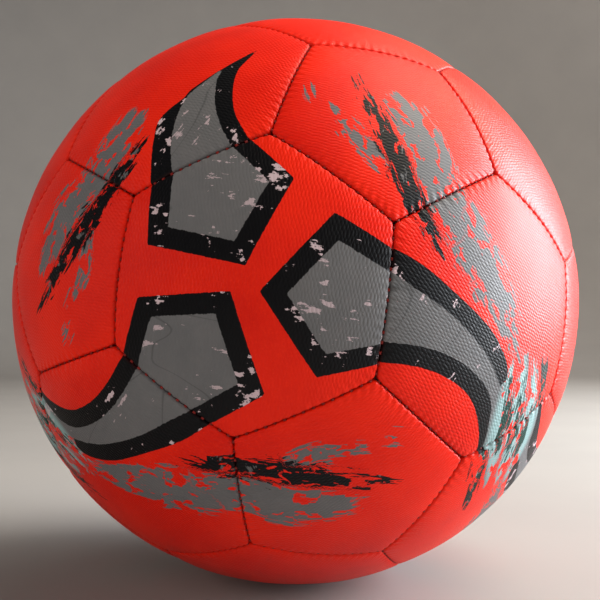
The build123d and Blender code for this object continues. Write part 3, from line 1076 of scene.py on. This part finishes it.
def soft_material(name, dark, light, scale, roughness, bump_mm, weave=0.0):
    """Foam, cloth, thread or rubber: two mixed tones, uneven gloss, and a fine relief. weave is in threads
    per millimetre."""
    material, bench, shader = new_material(name)
    place = object_place(bench)
    tone = bench.noise(place, scale, 4.0, 0.6)
    bench.feed(shader.inputs["Base Color"], bench.tint(tone, (*dark, 1), (*light, 1)))
    gloss = bench.noise(place, scale * 0.4, 2.0)
    bench.feed(shader.inputs["Roughness"], bench.step(gloss, 0.25, 0.75, roughness - 0.08, roughness + 0.08))
    height = tone
    if weave:
        x, y, z = bench.split(place)
        threads = [bench.maths("SINE", bench.maths("MULTIPLY", axis, 2 * pi * weave)) for axis in (x, y, z)]
        crossed = bench.maths("MULTIPLY", bench.maths("ADD", threads[0], threads[1]), threads[2])
        height = bench.maths("ADD", height, bench.maths("MULTIPLY", crossed, 0.5))
    give_relief(bench, shader, bump_mm, height)
    return material


SOFT_ROWS = {
    "foam": ("closed_cell_foam", (0.62, 0.60, 0.52), (0.78, 0.76, 0.70), 1.4, 0.85, 0.2),
    "lining_cloth": ("lining_cloth", (0.5, 0.48, 0.43), (0.66, 0.65, 0.6), 0.8, 0.9, 0.15, 1.1),
    "bladder_rubber": ("butyl_rubber", (0.012, 0.012, 0.014), (0.03, 0.03, 0.033), 0.3, 0.42, 0.05),
    "thread": ("waxed_thread", (0.15, 0.006, 0.004), (0.30, 0.013, 0.008), 3.0, 0.55, 0.08, 2.2),
    "valve_rubber": ("valve_rubber", (0.010, 0.010, 0.011), (0.028, 0.028, 0.03), 1.6, 0.5, 0.03),
}
SOFT_MATERIALS = {slot: soft_material(*row) for slot, row in SOFT_ROWS.items()}


def dress_carried_nodes():
    """Gives the inner layers that stay as they are the material of their slot."""
    slots = {s["node"]: s["material_slot"] for s in frame["record"]["subparts"]}
    for name, node in frame["nodes"].items():
        if slots[name] in SOFT_MATERIALS and not node.hide_render:
            node.data.materials.clear()
            node.data.materials.append(SOFT_MATERIALS[slots[name]])


# ---- Making the ball ----
PANELS = panel_nodes()
COVERS = {"plain": plain_cover(), "printed": printed_cover()}
for number, (name, sides, axis) in enumerate(PANELS):
    make_panel(name, sides, axis, number, COVERS)
make_stitches(PANELS, SOFT_MATERIALS["thread"])
make_valve(SOFT_MATERIALS["valve_rubber"])
dress_carried_nodes()


# ---- Studio ----
FLOOR_Z = CAD_LOW.z


def pale_paper():
    material, bench, shader = new_material("pale_paper")
    tone = bench.noise(object_place(bench), 0.01, 3.0)
    bench.feed(shader.inputs["Base Color"], bench.tint(tone, (0.27, 0.255, 0.24, 1), (0.31, 0.29, 0.27, 1)))
    shader.inputs["Roughness"].default_value = 0.9
    return material


def pale_sweep():
    """A round floor that curves up into a backdrop all round the ball."""
    reach, rise, curve, steps = 2.6, 2.6, 0.9, 96
    turns = np.linspace(0, pi / 2, 16)
    section = [(reach - curve + curve * sin(a), curve - curve * cos(a)) for a in turns]
    section.append((reach, rise))
    vertices = [(0, 0, FLOOR_Z)]
    for out, up in section:
        for k in range(steps):
            turn = 2 * pi * k / steps
            vertices.append((out * cos(turn), out * sin(turn), FLOOR_Z + up))
    faces = [(0, 1 + k, 1 + (k + 1) % steps) for k in range(steps)]
    for ring in range(len(section) - 1):
        start = 1 + ring * steps
        for k in range(steps):
            a, b = start + k, start + (k + 1) % steps
            faces.append((a, a + steps, b + steps, b))
    mesh = bpy.data.meshes.new("floor")
    mesh.from_pydata(vertices, [], faces)
    mesh.shade_smooth()
    mesh.materials.append(pale_paper())
    floor = bpy.data.objects.new("floor", mesh)
    bpy.context.scene.collection.objects.link(floor)


def soft_light(name, place, size, power, colour, glossy=True, target=(0, 0, 0)):
    """A panel of light, its power in watts. One that isn't glossy isn't mirrored in the ball."""
    lamp = bpy.data.lights.new(name, "AREA")
    lamp.shape = "RECTANGLE"
    lamp.size, lamp.size_y = size
    lamp.energy = power
    lamp.color = colour
    light = bpy.data.objects.new(name, lamp)
    light.location = place
    light.visible_glossy = glossy
    light.rotation_euler = (Vector(target) - Vector(place)).to_track_quat("-Z", "Y").to_euler()
    bpy.context.scene.collection.objects.link(light)


def soft_world():
    world = bpy.data.worlds.new("studio")
    world.use_nodes = True
    background = world.node_tree.nodes["Background"]
    background.inputs["Color"].default_value = (0.9, 0.88, 0.86, 1)
    background.inputs["Strength"].default_value = 0.1
    bpy.context.scene.world = world


def studio():
    pale_sweep()
    soft_light("window", (1.15, 0.3, 0.32), (0.8, 0.9), 55, (0.87, 0.93, 1.0))
    soft_light("skylight", (0.75, 0.1, 1.15), (1.2, 0.9), 18, (1.0, 0.88, 0.70))
    soft_light("front", (0.35, -1.5, 0.5), (0.9, 0.9), 6.5, (1.0, 0.97, 0.94), False)
    soft_light("fill", (-1.3, -0.8, 0.3), (1.2, 1.2), 8.5, (1.0, 0.95, 0.9), False)
    soft_light("backdrop", (0.5, 0.4, 1.7), (1.5, 1.5), 37, (1.0, 0.95, 0.9), False, (1.8, 2.1, 0.3))
    soft_world()
    bpy.context.scene.view_settings.view_transform = "Standard"


def camera():
    """Close to the ball, a little to its right and below its middle."""
    azimuth, elevation = radians(7.2), radians(-2.7)
    distance = 2.917 * RADIUS_MM * MM
    lens = bpy.data.cameras.new("camera")
    lens.sensor_width, lens.lens = 36, 46.6
    lens.shift_x, lens.shift_y = 0.0075, 0.0022
    eye = bpy.data.objects.new("camera", lens)
    back = Vector((sin(azimuth) * cos(elevation), -cos(azimuth) * cos(elevation), sin(elevation)))
    eye.location = back * distance
    eye.rotation_euler = back.to_track_quat("Z", "Y").to_euler()
    bpy.context.scene.collection.objects.link(eye)
    bpy.context.scene.camera = eye


studio()
camera()
